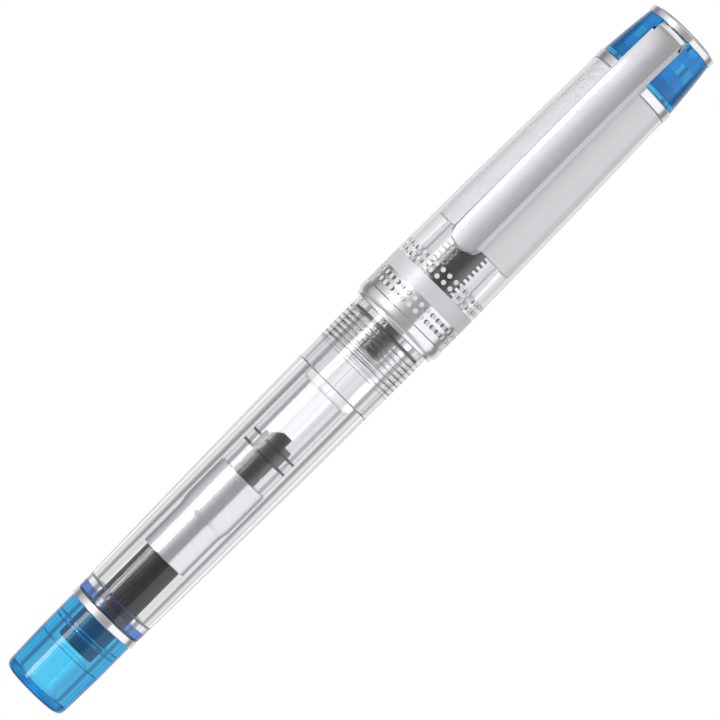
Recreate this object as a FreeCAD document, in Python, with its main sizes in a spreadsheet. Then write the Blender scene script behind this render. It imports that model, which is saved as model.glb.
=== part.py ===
import FreeCAD, Part
import os
import re
import Sketcher

# A capped fountain pen with a clear barrel and cap, standing on its tail. Millimetres.
# The origin is the centre of the tail's flat end, +Z runs up the pen to the cap's top
# and the clip is on the -Y side.

DOC = FreeCAD.newDocument("FountainPen")

# Driving dimensions. A name that ends in _radius is measured from the pen's axis, and one
# that ends in _level is a height above the tail's end.
SIZES = {
    # tail cap: a cup whose spigot goes up into the barrel's foot
    "tail_foot_radius": 4.88,
    "tail_radius": 5.07,
    "tail_straight_level": 6.5,
    "tail_top_level": 12.75,
    "tail_rounding": 1.1,
    "tail_bore_radius": 3.18,
    "tail_floor_level": 1.3,
    "tail_bore_level": 6.6,
    "tail_step_level": 6.9,
    "neck_bore_radius": 3.3,
    "spigot_radius": 4.38,
    "spigot_level": 15.25,
    # ring between tail cap and barrel
    "ring_bore_radius": 4.42,
    "tail_ring_radius": 5.32,
    "tail_ring_level": 13.85,
    "ring_rounding": 0.25,
    # barrel tube
    "foot_bore_radius": 4.43,
    "neck_level": 15.3,
    "bore_level": 16.3,
    "barrel_bore_radius": 4.05,
    "barrel_foot_radius": 5.24,
    "barrel_radius": 5.98,
    "barrel_full_level": 63.0,
    "barrel_belly": 0.12,
    "barrel_mouth_level": 67.2,
    "pilot_bore_radius": 5.36,
    "pilot_level": 55.25,
    "thread_bore_radius": 5.42,
    "thread_level": 59.4,
    "thread_relief": 0.2,
    "mouth_bore_radius": 5.5,
    "mouth_step_level": 64.8,
    # grip section, screwed into the barrel's mouth
    "running_gap": 0.05,
    "socket_radius": 3.7,
    "socket_level": 55.35,
    "socket_top_level": 68.5,
    "pilot_radius": 5.31,
    "groove_radius": 4.7,
    "groove_level": 64.85,
    "groove_top_level": 65.3,
    "shoulder_radius": 5.43,
    "flange_radius": 5.9,
    "flange_top_level": 68.0,
    "grip_radius": 5.25,
    "grip_neck_radius": 4.6,
    "grip_neck_level": 87.6,
    "grip_hollow": 0.1,
    "lip_radius": 4.8,
    "lip_level": 88.6,
    "grip_end_level": 89.5,
    "feed_seat_radius": 3.05,
    "feed_seat_level": 83.0,
    "cavity_top_level": 82.0,
    "cavity_radius": 4.0,
    "cavity_level": 71.0,
    "nipple_bore_level": 70.4,
    "nipple_bore_radius": 1.95,
    # sealing washer in the section's groove
    "washer_radius": 5.44,
    "washer_bore_radius": 4.74,
    "washer_level": 64.9,
    "washer_top_level": 65.25,
    # feed
    "nipple_radius": 1.86,
    "nipple_level": 61.5,
    "nipple_tip_radius": 1.56,
    "nipple_full_level": 62.1,
    "feed_level": 70.9,
    "comb_radius": 2.85,
    "comb_top_level": 82.6,
    "feed_radius": 2.7,
    "feed_taper_level": 91.5,
    "feed_tip_radius": 0.7,
    "feed_tip_level": 103.4,
    "comb_pitch": 0.79,
    "comb_slot": 0.4,
    "comb_slot_level": 71.6,
    "comb_depth": 0.55,
    "comb_count": 13,
    "channel_width": 0.5,
    "channel_depth": 1.2,
    # nib
    "nib_thickness": 0.26,
    "nib_level": 82.7,
    "nib_taper_level": 91.5,
    "nib_tip_radius": 0.35,
    "nib_tip_level": 107.3,
    "nib_point_level": 106.9,
    "nib_point_inner_radius": 0.25,
    "nib_wrap": 190,
    "vent_radius": 0.55,
    "vent_level": 97.0,
    "slit_width": 0.1,
    # converter
    "tube_radius": 3.64,
    "tube_foot_radius": 3.3,
    "tube_foot_level": 30.6,
    "tube_shoulder_level": 38.85,
    "chamber_radius": 2.62,
    "chamber_top_level": 53.7,
    "chamber_end_radius": 2.22,
    "chamber_cone_level": 53.4,
    "duct_level": 54.1,
    "collar_radius": 3.88,
    "collar_level": 54.1,
    "collar_top_level": 55.25,
    "duct_radius": 1.2,
    "mouth_level": 61.3,
    "mouth_radius": 1.92,
    "tube_end_level": 68.2,
    "tube_end_radius": 3.14,
    "tube_taper_level": 67.2,
    "sleeve_radius": 3.53,
    "sleeve_wide_radius": 3.78,
    "sleeve_step_level": 31.3,
    "sleeve_wide_level": 32.0,
    "sleeve_bore_radius": 3.35,
    "sleeve_level": 24.2,
    "sleeve_floor_level": 25.0,
    "sleeve_neck_radius": 2.5,
    "guide_radius": 3.3,
    "guide_level": 27.6,
    "guide_top_level": 30.5,
    "knob_radius": 2.88,
    "knob_level": 7.85,
    "knob_top_level": 24.1,
    "knob_stem_radius": 2.4,
    "knob_collar_radius": 3.2,
    "knob_collar_level": 25.1,
    "knob_collar_top_level": 27.4,
    "knob_bore_level": 10.5,
    "spindle_bore_radius": 1.5,
    "knob_rounding": 0.3,
    "spindle_radius": 1.42,
    "spindle_level": 12.0,
    "rod_level": 37.0,
    "rod_radius": 1.8,
    "rod_top_level": 42.5,
    "stud_radius": 0.98,
    "stud_top_level": 44.8,
    "seal_radius": 2.6,
    "seal_body_radius": 2.3,
    "seal_lip": 0.45,
    "seal_front_lip_level": 44.25,
    "seal_body_top_level": 45.35,
    "seal_stub_radius": 1.13,
    "seal_top_level": 46.65,
    "seal_slope_level": 45.5,
    "seal_slope_reach": 0.1,
    # cap
    "cap_radius": 6.74,
    "cap_bore_radius": 6.22,
    "cap_mouth_level": 68.35,
    "cap_straight_level": 77.0,
    "cap_top_radius": 6.18,
    "cap_top_bore_radius": 5.7,
    "cap_narrow_level": 107.0,
    "cap_belly": 0.075,
    "cap_top_level": 109.65,
    "cap_rim_radius": 5.15,
    "cap_rim_level": 109.05,
    "band_level": 71.65,
    "band_top_level": 74.0,
    "band_depth": 0.12,
    "cap_lip_radius": 6.9,
    "cap_lip_step_radius": 6.5,
    "cap_lip_level": 66.2,
    "cap_lip_step_level": 66.8,
    "cap_lip_bore_radius": 6.04,
    "cap_lip_sleeve_radius": 6.17,
    "cap_lip_sleeve_level": 72.8,
    "cap_lip_rounding": 0.35,
    "inner_cap_radius": 6.1,
    "inner_cap_level": 81.1,
    "inner_cap_top_radius": 5.62,
    "inner_cap_top_level": 108.95,
    "inner_cap_roof_level": 108.1,
    "inner_cap_mouth_radius": 5.34,
    "inner_cap_step_level": 90.4,
    "inner_cap_cone_level": 89.8,
    "inner_cap_belly": 0.06,
    "inner_cap_bore_radius": 4.7,
    "cap_ring_radius": 6.25,
    "cap_ring_level": 111.05,
    "cap_ring_bore_radius": 5.12,
    "crown_spigot_radius": 5.08,
    "crown_spigot_level": 109.1,
    "crown_foot_radius": 6.05,
    "crown_radius": 5.3,
    "crown_belly": 0.06,
    "crown_top_level": 118.85,
    "crown_hollow_radius": 4.0,
    "crown_hollow_level": 112.0,
    "crown_bore_radius": 3.2,
    "crown_bore_level": 113.4,
    "plug_radius": 3.15,
    "plug_bore_radius": 1.2,
    "finial_radius": 5.42,
    "finial_rim_level": 120.1,
    "finial_rounding": 0.25,
    "finial_pin_radius": 1.15,
    "finial_pin_level": 114.0,
    "pen_length": 120.4,
    # clip, with reaches measured outwards from the pen's axis
    "clip_width": 4.9,
    "clip_tip_level": 79.2,
    "clip_tip_reach": 7.9,
    "clip_reach": 8.25,
    "clip_high_level": 106.0,
    "clip_shoulder_level": 117.4,
    "clip_shoulder_reach": 6.75,
    "clip_tab_reach": 5.9,
    "clip_tab_level": 118.35,
    "clip_tab_top_level": 118.75,
    "clip_tab_end_reach": 1.75,
    "clip_back_reach": 6.85,
    "clip_belly": 0.3,
    "clip_tip_belly": 0.075,
    "clip_tip_curve": 0.66,
    "clip_tip_flat": 0.5,
    "clip_bend_reach": 5.7,
    "clip_neck_reach": 6.1,
    "clip_back_level": 110.0,
    "clip_channel_level": 81.2,
    "clip_wall": 0.45,
    "clip_skin_reach": 7.6,
    "slot_width": 5.1,
    "slot_level": 118.0,
    "overcut": 1.0,
}

# --------------------------------------------------------------------------- the sheet
SHEET = DOC.addObject("Spreadsheet::Sheet", "Sizes")
for row, (alias, number) in enumerate(SIZES.items(), 1):
    SHEET.set(f"A{row}", alias)
    SHEET.set(f"B{row}", str(number))
    SHEET.setAlias(f"B{row}", alias)
DOC.recompute()


def cells(expression):
    """The expression with every size written as a cell of the sheet."""
    return re.sub(r"[a-z][a-z_]+", lambda word: "Sizes." + word.group(), expression)


def value(expression):
    """What an expression comes to, in millimetres."""
    return float(SHEET.evalExpression(cells(expression)))


# ------------------------------------------------------------------------ small helpers
def origin_plane(body, role):
    """One of the body's own origin planes."""
    return next(item for item in body.Origin.OriginFeatures if item.Role == role)


def new_body(name):
    body = DOC.addObject("PartDesign::Body", name)
    body.Label = name
    return body


def outlined(body, plane, name, outline):
    """A closed sketch through corners given as (across, up) expressions, anticlockwise.

    A third expression bends the side that leaves the corner into an arc that swells
    outwards by that much, or inwards where it starts with a minus sign. Every corner and
    radius is bound to the sheet.
    """
    sketch = body.newObject("Sketcher::SketchObject", name)
    sketch.AttachmentSupport = [(origin_plane(body, plane), "")]
    sketch.MapMode = "FlatFace"
    corners = [FreeCAD.Vector(value(corner[0]), value(corner[1]), 0) for corner in outline]
    ends = []
    for number, corner in enumerate(outline):
        start = corners[number]
        end = corners[(number + 1) % len(corners)]
        if len(corner) == 3:
            bulge = value(corner[2])
            side = (end - start).normalize()
            middle = (start + end) / 2 + FreeCAD.Vector(side.y, -side.x, 0) * bulge
            sketch.addGeometry(Part.Arc(start, middle, end), False)
            ends.append((1, 2) if bulge > 0 else (2, 1))
        else:
            sketch.addGeometry(Part.LineSegment(start, end), False)
            ends.append((1, 2))
    for number, (first, last) in enumerate(ends):
        following = (number + 1) % len(ends)
        joined = Sketcher.Constraint("Coincident", number, last, following, ends[following][0])
        sketch.addConstraint(joined)
    for number, corner in enumerate(outline):
        end = ends[number][0]
        place_corner(sketch, number, end, "DistanceX", corner[0], -2)
        place_corner(sketch, number, end, "DistanceY", corner[1], -1)
        if len(corner) == 3:
            following = outline[(number + 1) % len(outline)]
            chord = f"(({following[0]}-({corner[0]}))^2+({following[1]}-({corner[1]}))^2)"
            size = "(" + corner[2].lstrip("-") + ")"
            bind(sketch, "Radius", (number,), f"{chord}/(8*{size})+{size}/2")
    return sketch


def place_corner(sketch, number, end, kind, expression, axis):
    """Holds one corner of a sketch at a distance from the origin, or on the axis."""
    if value(expression) == 0:
        sketch.addConstraint(Sketcher.Constraint("PointOnObject", number, end, axis))
    else:
        bind(sketch, kind, (-1, 1, number, end), expression)


def bind(sketch, kind, where, expression):
    """A dimension in a sketch that the sheet drives."""
    index = sketch.addConstraint(Sketcher.Constraint(kind, *where, value(expression)))
    sketch.setExpression(f"Constraints[{index}]", cells(expression))


def turned(name, outline):
    """A body of revolution about the pen's axis."""
    body = new_body(name)
    turning = body.newObject("PartDesign::Revolution", name + "_turning")
    turning.Profile = outlined(body, "XZ_Plane", name + "_outline", outline)
    turning.ReferenceAxis = (turning.Profile[0], ["V_Axis"])
    turning.Angle = 360
    DOC.recompute()
    return body


def rounded(body, rims, radius):
    """Rounds the circular edges that stand at the given (radius, level) places."""
    base = body.Tip
    places = [(value(across), value(up)) for across, up in rims]
    names = []
    for number, edge in enumerate(base.Shape.Edges, 1):
        if edge.Degenerated or not isinstance(edge.Curve, Part.Circle):
            continue
        for across, up in places:
            level = abs(edge.Curve.Center.z - up) < 0.001
            if level and abs(edge.Curve.Radius - across) < 0.001:
                names.append(f"Edge{number}")
    fillet = body.newObject("PartDesign::Fillet", body.Name + "_rounding")
    fillet.Base = (base, names)
    fillet.setExpression("Radius", cells(radius))
    DOC.recompute()


def cut_through(body, plane, name, outline, depth, one_side=False):
    """Cuts an outline out of a body, half the depth each side of the plane or all on one."""
    before = body.Shape.Volume
    pocket = body.newObject("PartDesign::Pocket", body.Name + "_" + name)
    pocket.Profile = outlined(body, plane, body.Name + "_" + name + "_outline", outline)
    pocket.SideType = "One side" if one_side else "Symmetric"
    pocket.Reversed = one_side
    pocket.setExpression("Length", cells(depth))
    DOC.recompute()
    if body.Shape.Volume > before - 0.0001:
        raise ValueError(f"{pocket.Name} cuts nothing")


def rectangle(left, right, bottom, top):
    return [(left, bottom), (right, bottom), (right, top), (left, top)]


def face_clip_side(body):
    """Turns a body made towards +X or +Y round to the clip's side, -Y."""
    body.Placement = FreeCAD.Placement(
        FreeCAD.Vector(0, 0, 0), FreeCAD.Rotation(FreeCAD.Vector(0, 0, 1), 180)
    )


# ------------------------------------------------------------------------ barrel pieces
def tail_cap():
    body = turned("tail_cap", [
        ("0", "0"),
        ("tail_foot_radius", "0"),
        ("tail_radius", "tail_straight_level"),
        ("tail_radius", "tail_top_level"),
        ("spigot_radius", "tail_top_level"),
        ("spigot_radius", "spigot_level"),
        ("neck_bore_radius", "spigot_level"),
        ("neck_bore_radius", "tail_step_level"),
        ("tail_bore_radius", "tail_bore_level"),
        ("tail_bore_radius", "tail_floor_level"),
        ("0", "tail_floor_level"),
    ])
    rounded(body, [("tail_foot_radius", "0")], "tail_rounding")


def tail_ring():
    body = turned("tail_ring", rectangle(
        "ring_bore_radius", "tail_ring_radius", "tail_top_level", "tail_ring_level"
    ))
    rims = [("tail_ring_radius", level) for level in ("tail_top_level", "tail_ring_level")]
    rounded(body, rims, "ring_rounding")


def barrel_tube():
    turned("barrel_tube", [
        ("foot_bore_radius", "tail_ring_level"),
        ("barrel_foot_radius", "tail_ring_level", "barrel_belly"),
        ("barrel_radius", "barrel_full_level"),
        ("barrel_radius", "barrel_mouth_level"),
        ("mouth_bore_radius", "barrel_mouth_level"),
        ("mouth_bore_radius", "mouth_step_level"),
        ("thread_bore_radius", "mouth_step_level"),
        ("thread_bore_radius", "thread_level"),
        ("pilot_bore_radius", "thread_level"),
        ("pilot_bore_radius", "pilot_level"),
        ("barrel_bore_radius", "pilot_level"),
        ("barrel_bore_radius", "bore_level"),
        ("neck_bore_radius", "neck_level"),
        ("foot_bore_radius", "neck_level"),
    ])


# --------------------------------------------------------------------- section and nib
def grip_section():
    thread_radius = "thread_bore_radius-running_gap"
    turned("grip_section", [
        ("socket_radius", "socket_level"),
        ("pilot_radius", "socket_level"),
        ("pilot_radius", "thread_level+thread_relief"),
        (thread_radius, "thread_level+thread_relief"),
        (thread_radius, "groove_level"),
        ("groove_radius", "groove_level"),
        ("groove_radius", "groove_top_level"),
        ("shoulder_radius", "groove_top_level"),
        ("shoulder_radius", "barrel_mouth_level"),
        ("flange_radius", "barrel_mouth_level"),
        ("flange_radius", "flange_top_level"),
        ("grip_radius", "flange_top_level", "-grip_hollow"),
        ("grip_neck_radius", "grip_neck_level"),
        ("lip_radius", "lip_level"),
        ("grip_neck_radius", "grip_end_level"),
        ("feed_seat_radius", "grip_end_level"),
        ("feed_seat_radius", "feed_seat_level"),
        ("cavity_radius", "cavity_top_level"),
        ("cavity_radius", "cavity_level"),
        ("nipple_bore_radius", "nipple_bore_level"),
        ("nipple_bore_radius", "socket_top_level"),
        ("socket_radius", "socket_top_level"),
    ])


def sealing_washer():
    body = turned("sealing_washer", rectangle(
        "washer_bore_radius", "washer_radius", "washer_level", "washer_top_level"
    ))
    rims = [("washer_radius", level) for level in ("washer_level", "washer_top_level")]
    rounded(body, rims, "(washer_top_level-washer_level)/4")


def nib_feed():
    body = turned("nib_feed", [
        ("0", "nipple_level"),
        ("nipple_tip_radius", "nipple_level"),
        ("nipple_radius", "nipple_full_level"),
        ("nipple_radius", "feed_level"),
        ("comb_radius", "feed_level"),
        ("comb_radius", "comb_top_level"),
        ("feed_radius", "comb_top_level"),
        ("feed_radius", "feed_taper_level"),
        ("feed_tip_radius", "feed_tip_level"),
        ("0", "feed_tip_level"),
    ])
    groove = body.newObject("PartDesign::Groove", "comb_slot_groove")
    groove.Profile = outlined(body, "XZ_Plane", "comb_slot_outline", rectangle(
        "comb_radius-comb_depth", "comb_radius+overcut",
        "comb_slot_level", "comb_slot_level+comb_slot"
    ))
    groove.ReferenceAxis = (groove.Profile[0], ["V_Axis"])
    groove.Angle = 360
    DOC.recompute()
    pattern = body.newObject("PartDesign::LinearPattern", "comb_slots")
    pattern.Originals = [groove]
    pattern.Direction = (groove.Profile[0], ["V_Axis"])
    pattern.setExpression("Occurrences", cells("comb_count"))
    pattern.setExpression("Length", cells("comb_pitch*(comb_count-1)"))
    body.Tip = pattern
    DOC.recompute()
    cut_through(body, "YZ_Plane", "channel", rectangle(
        "feed_radius-channel_depth", "comb_radius+overcut",
        "comb_slot_level", "feed_tip_level+overcut"
    ), "channel_width")
    face_clip_side(body)


def nib():
    body = new_body("nib")
    inner = "feed_radius+running_gap"
    outer = "feed_radius+running_gap+nib_thickness"
    turning = body.newObject("PartDesign::Revolution", "nib_turning")
    turning.Profile = outlined(body, "YZ_Plane", "nib_outline", [
        (inner, "nib_level"),
        (outer, "nib_level"),
        (outer, "nib_taper_level"),
        ("nib_tip_radius+nib_thickness", "nib_point_level"),
        ("nib_tip_radius", "nib_tip_level"),
        ("nib_point_inner_radius", "nib_point_level"),
        (inner, "nib_taper_level"),
    ])
    turning.ReferenceAxis = (turning.Profile[0], ["V_Axis"])
    turning.Midplane = True
    turning.setExpression("Angle", cells("nib_wrap"))
    DOC.recompute()
    cut_through(body, "XZ_Plane", "slit", rectangle(
        "-slit_width/2", "slit_width/2", "vent_level", "nib_tip_level+overcut"
    ), "comb_radius*4")
    vent = body.newObject("PartDesign::Pocket", "nib_vent")
    circle = body.newObject("Sketcher::SketchObject", "nib_vent_outline")
    circle.AttachmentSupport = [(origin_plane(body, "XZ_Plane"), "")]
    circle.MapMode = "FlatFace"
    centre = FreeCAD.Vector(0, value("vent_level"), 0)
    circle.addGeometry(Part.Circle(centre, FreeCAD.Vector(0, 0, 1), value("vent_radius")), False)
    circle.addConstraint(Sketcher.Constraint("PointOnObject", 0, 3, -2))
    bind(circle, "DistanceY", (-1, 1, 0, 3), "vent_level")
    bind(circle, "Radius", (0,), "vent_radius")
    vent.Profile = circle
    vent.SideType = "Symmetric"
    vent.setExpression("Length", cells("comb_radius*4"))
    DOC.recompute()
    face_clip_side(body)


# --------------------------------------------------------------------------- converter
def converter_tube():
    turned("converter_tube", [
        ("chamber_radius", "tube_foot_level"),
        ("tube_foot_radius", "tube_foot_level"),
        ("tube_foot_radius", "tube_shoulder_level"),
        ("tube_radius", "tube_shoulder_level"),
        ("tube_radius", "collar_level"),
        ("collar_radius", "collar_level"),
        ("collar_radius", "collar_top_level"),
        ("tube_radius", "collar_top_level"),
        ("tube_radius", "tube_taper_level"),
        ("tube_end_radius", "tube_end_level"),
        ("mouth_radius", "tube_end_level"),
        ("mouth_radius", "mouth_level"),
        ("duct_radius", "mouth_level"),
        ("duct_radius", "duct_level"),
        ("chamber_end_radius", "chamber_top_level"),
        ("chamber_radius", "chamber_cone_level"),
    ])


def converter_sleeve():
    turned("converter_sleeve", [
        ("sleeve_neck_radius", "sleeve_level"),
        ("sleeve_radius", "sleeve_level"),
        ("sleeve_radius", "sleeve_step_level"),
        ("sleeve_wide_radius", "sleeve_wide_level"),
        ("sleeve_wide_radius", "tube_shoulder_level"),
        ("sleeve_bore_radius", "tube_shoulder_level"),
        ("sleeve_bore_radius", "sleeve_floor_level"),
        ("sleeve_neck_radius", "sleeve_floor_level"),
    ])


def spindle_guide():
    turned("spindle_guide", rectangle(
        "spindle_radius+running_gap", "guide_radius", "guide_level", "guide_top_level"
    ))


def converter_knob():
    body = turned("converter_knob", [
        ("0", "knob_level"),
        ("knob_radius", "knob_level"),
        ("knob_radius", "knob_top_level"),
        ("knob_stem_radius", "knob_top_level"),
        ("knob_stem_radius", "knob_collar_level"),
        ("knob_collar_radius", "knob_collar_level"),
        ("knob_collar_radius", "knob_collar_top_level"),
        ("spindle_bore_radius", "knob_collar_top_level"),
        ("spindle_bore_radius", "knob_bore_level"),
        ("0", "knob_bore_level"),
    ])
    rounded(body, [("knob_radius", "knob_level")], "knob_rounding")


def piston_rod():
    turned("piston_rod", [
        ("0", "spindle_level"),
        ("spindle_radius", "spindle_level"),
        ("spindle_radius", "rod_level"),
        ("rod_radius", "rod_level"),
        ("rod_radius", "rod_top_level"),
        ("stud_radius", "rod_top_level"),
        ("stud_radius", "stud_top_level"),
        ("0", "stud_top_level"),
    ])


def piston_seal():
    body = turned("piston_seal", [
        ("stud_radius", "rod_top_level"),
        ("seal_radius", "rod_top_level"),
        ("seal_radius", "rod_top_level+seal_lip"),
        ("seal_body_radius", "rod_top_level+seal_lip"),
        ("seal_body_radius", "seal_front_lip_level"),
        ("seal_radius", "seal_front_lip_level"),
        ("seal_radius", "seal_front_lip_level+seal_lip"),
        ("seal_body_radius", "seal_front_lip_level+seal_lip"),
        ("seal_body_radius", "seal_body_top_level"),
        ("seal_stub_radius", "seal_body_top_level"),
        ("seal_stub_radius", "seal_top_level"),
        ("0", "seal_top_level"),
        ("0", "stud_top_level"),
        ("stud_radius", "stud_top_level"),
    ])
    cut_through(body, "XZ_Plane", "stub_slope", [
        ("-seal_body_radius", "seal_slope_level"),
        ("-seal_stub_radius", "seal_slope_level"),
        ("-seal_slope_reach", "seal_top_level"),
        ("-seal_slope_reach", "seal_top_level+overcut"),
        ("-seal_body_radius", "seal_top_level+overcut"),
    ], "seal_radius*2")


# --------------------------------------------------------------------------------- cap
def cap_lip_ring():
    body = turned("cap_lip_ring", [
        ("cap_lip_bore_radius", "cap_lip_level"),
        ("cap_lip_step_radius", "cap_lip_level"),
        ("cap_lip_step_radius", "cap_lip_step_level"),
        ("cap_lip_radius", "cap_lip_step_level"),
        ("cap_lip_radius", "cap_mouth_level"),
        ("cap_lip_sleeve_radius", "cap_mouth_level"),
        ("cap_lip_sleeve_radius", "cap_lip_sleeve_level"),
        ("cap_lip_bore_radius", "cap_lip_sleeve_level"),
    ])
    rims = [("cap_lip_radius", level) for level in ("cap_lip_step_level", "cap_mouth_level")]
    rounded(body, rims, "cap_lip_rounding")


def cap_shell():
    turned("cap_shell", [
        ("cap_bore_radius", "cap_mouth_level"),
        ("cap_radius", "cap_mouth_level"),
        ("cap_radius", "band_level"),
        ("cap_radius-band_depth", "band_level"),
        ("cap_radius-band_depth", "band_top_level"),
        ("cap_radius", "band_top_level"),
        ("cap_radius", "cap_straight_level", "cap_belly"),
        ("cap_top_radius", "cap_narrow_level"),
        ("cap_top_radius", "cap_top_level"),
        ("cap_rim_radius", "cap_top_level"),
        ("cap_rim_radius", "cap_rim_level"),
        ("cap_top_bore_radius", "cap_rim_level"),
        ("cap_top_bore_radius", "cap_narrow_level", "-cap_belly"),
        ("cap_bore_radius", "cap_straight_level"),
    ])


def cap_band():
    turned("cap_band", rectangle(
        "cap_radius-band_depth", "cap_radius", "band_level", "band_top_level"
    ))


def inner_cap():
    body = turned("inner_cap", [
        ("inner_cap_mouth_radius", "inner_cap_level"),
        ("inner_cap_radius", "inner_cap_level", "inner_cap_belly"),
        ("inner_cap_top_radius", "cap_narrow_level"),
        ("inner_cap_top_radius", "inner_cap_top_level"),
        ("0", "inner_cap_top_level"),
        ("0", "inner_cap_roof_level"),
        ("inner_cap_bore_radius", "inner_cap_roof_level"),
        ("inner_cap_bore_radius", "inner_cap_step_level"),
        ("inner_cap_mouth_radius", "inner_cap_cone_level"),
    ])
    rounded(body, [("inner_cap_top_radius", "inner_cap_top_level")], "finial_rounding")


def cap_ring():
    body = turned("cap_ring", rectangle(
        "cap_ring_bore_radius", "cap_ring_radius", "cap_top_level", "cap_ring_level"
    ))
    rims = [("cap_ring_radius", level) for level in ("cap_top_level", "cap_ring_level")]
    rounded(body, rims, "ring_rounding")


def clip_slot(body):
    """The slot that the clip's tab lies in, on the clip's side of the axis."""
    cut_through(body, "XZ_Plane", "slot", rectangle(
        "-slot_width/2", "slot_width/2", "slot_level", "crown_top_level+overcut"
    ), "crown_foot_radius+overcut", one_side=True)


def cap_crown():
    body = turned("cap_crown", [
        ("crown_hollow_radius", "crown_spigot_level"),
        ("crown_spigot_radius", "crown_spigot_level"),
        ("crown_spigot_radius", "cap_ring_level"),
        ("crown_foot_radius", "cap_ring_level", "crown_belly"),
        ("crown_radius", "crown_top_level"),
        ("crown_bore_radius", "crown_top_level"),
        ("crown_bore_radius", "crown_bore_level"),
        ("0", "crown_bore_level"),
        ("0", "crown_hollow_level"),
        ("crown_hollow_radius", "crown_hollow_level"),
    ])
    clip_slot(body)


def crown_plug():
    body = turned("crown_plug", rectangle(
        "plug_bore_radius", "plug_radius", "crown_bore_level", "crown_top_level"
    ))
    clip_slot(body)


def cap_finial():
    body = turned("cap_finial", [
        ("0", "finial_pin_level"),
        ("finial_pin_radius", "finial_pin_level"),
        ("finial_pin_radius", "crown_top_level"),
        ("finial_radius", "crown_top_level"),
        ("finial_radius", "finial_rim_level", "(pen_length-finial_rim_level)/4"),
        ("0", "pen_length"),
    ])
    rims = [("finial_radius", "crown_top_level"), ("finial_radius", "finial_rim_level")]
    rounded(body, rims, "finial_rounding")


def clip():
    """A bent steel channel: its arm stands off the cap and its tab reaches into the crown."""
    body = new_body("clip")
    arm = body.newObject("PartDesign::Pad", "clip_arm")
    arm.Profile = outlined(body, "YZ_Plane", "clip_side", [
        ("clip_back_reach", "clip_tip_level"),
        ("clip_tip_reach", "clip_tip_level", "clip_tip_belly"),
        ("clip_reach", "clip_high_level", "clip_belly"),
        ("clip_shoulder_reach", "clip_shoulder_level", "clip_belly"),
        ("clip_tab_reach", "clip_tab_top_level"),
        ("clip_tab_end_reach", "clip_tab_top_level"),
        ("clip_tab_end_reach", "clip_tab_level"),
        ("clip_bend_reach", "clip_tab_level"),
        ("clip_neck_reach", "clip_shoulder_level"),
        ("clip_back_reach", "clip_back_level"),
    ])
    arm.SideType = "Symmetric"
    arm.setExpression("Length", cells("clip_width"))
    DOC.recompute()
    # the channel behind the arm's face
    cut_through(body, "YZ_Plane", "channel", rectangle(
        "clip_back_reach-overcut", "clip_skin_reach", "clip_channel_level", "clip_high_level"
    ), "clip_width-clip_wall*2")
    # the half-round tip
    for side, name in (("", "right_tip"), ("-", "left_tip")):
        inner = (f"{side}clip_tip_flat", "clip_tip_level-overcut")
        outer = (f"{side}(clip_width/2+overcut)", "clip_tip_level-overcut")
        upper = (f"{side}(clip_width/2+overcut)", "clip_tip_level+clip_width/2")
        edge = (f"{side}clip_width/2", "clip_tip_level+clip_width/2")
        foot = (f"{side}clip_tip_flat", "clip_tip_level")
        corners = [inner, outer, upper, edge + ("-clip_tip_curve",), foot]
        if side:
            corners = [inner, foot + ("-clip_tip_curve",), edge, upper, outer]
        cut_through(body, "XZ_Plane", name, corners, "clip_reach*3")
    face_clip_side(body)


# -------------------------------------------------------------------------- whole model
for make in (
    tail_cap, tail_ring, barrel_tube, grip_section, sealing_washer, nib_feed, nib,
    converter_tube, converter_sleeve, spindle_guide, converter_knob, piston_rod, piston_seal,
    cap_lip_ring, cap_shell, cap_band, inner_cap, cap_ring, cap_crown, crown_plug, cap_finial,
    clip,
):
    make()
DOC.recompute()

for item in DOC.Objects:
    if "Invalid" in item.State or "Error" in item.State:
        raise ValueError(f"{item.Name} failed: {item.State}")

bodies = [item for item in DOC.Objects if item.TypeId == "PartDesign::Body"]
for body in bodies:
    shape = body.Shape
    if shape.isNull() or not shape.isValid() or len(shape.Solids) != 1:
        raise ValueError(f"{body.Label} isn't one valid solid")

os.makedirs("parts", exist_ok=True)
for body in bodies:
    body.Shape.exportStep(f"parts/{body.Label}.step")
    print(f"{body.Label}: {body.Shape.Volume:.1f} mm3")
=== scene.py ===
import math

import bmesh
import bpy
from mathutils import Matrix, Vector


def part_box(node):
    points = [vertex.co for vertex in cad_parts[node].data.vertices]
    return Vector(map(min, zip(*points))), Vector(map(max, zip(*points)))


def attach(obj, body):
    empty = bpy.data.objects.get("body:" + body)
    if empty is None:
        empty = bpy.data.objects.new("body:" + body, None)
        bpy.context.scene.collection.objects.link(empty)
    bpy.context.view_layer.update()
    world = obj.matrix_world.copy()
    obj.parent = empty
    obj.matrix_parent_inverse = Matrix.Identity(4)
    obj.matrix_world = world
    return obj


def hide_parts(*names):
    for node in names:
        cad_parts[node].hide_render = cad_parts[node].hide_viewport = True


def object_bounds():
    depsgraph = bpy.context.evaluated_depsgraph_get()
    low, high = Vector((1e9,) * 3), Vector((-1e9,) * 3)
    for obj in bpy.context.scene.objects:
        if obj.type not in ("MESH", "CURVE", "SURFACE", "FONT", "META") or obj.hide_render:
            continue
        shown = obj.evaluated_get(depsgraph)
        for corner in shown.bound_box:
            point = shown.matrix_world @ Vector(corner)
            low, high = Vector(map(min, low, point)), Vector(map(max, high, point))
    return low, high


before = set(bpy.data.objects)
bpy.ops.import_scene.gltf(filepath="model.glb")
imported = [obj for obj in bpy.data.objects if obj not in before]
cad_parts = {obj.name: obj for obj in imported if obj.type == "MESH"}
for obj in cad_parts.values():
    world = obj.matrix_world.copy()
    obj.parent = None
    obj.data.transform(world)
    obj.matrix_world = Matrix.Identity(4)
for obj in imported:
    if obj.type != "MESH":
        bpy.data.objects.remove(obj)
cad_low, cad_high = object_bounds()

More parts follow.
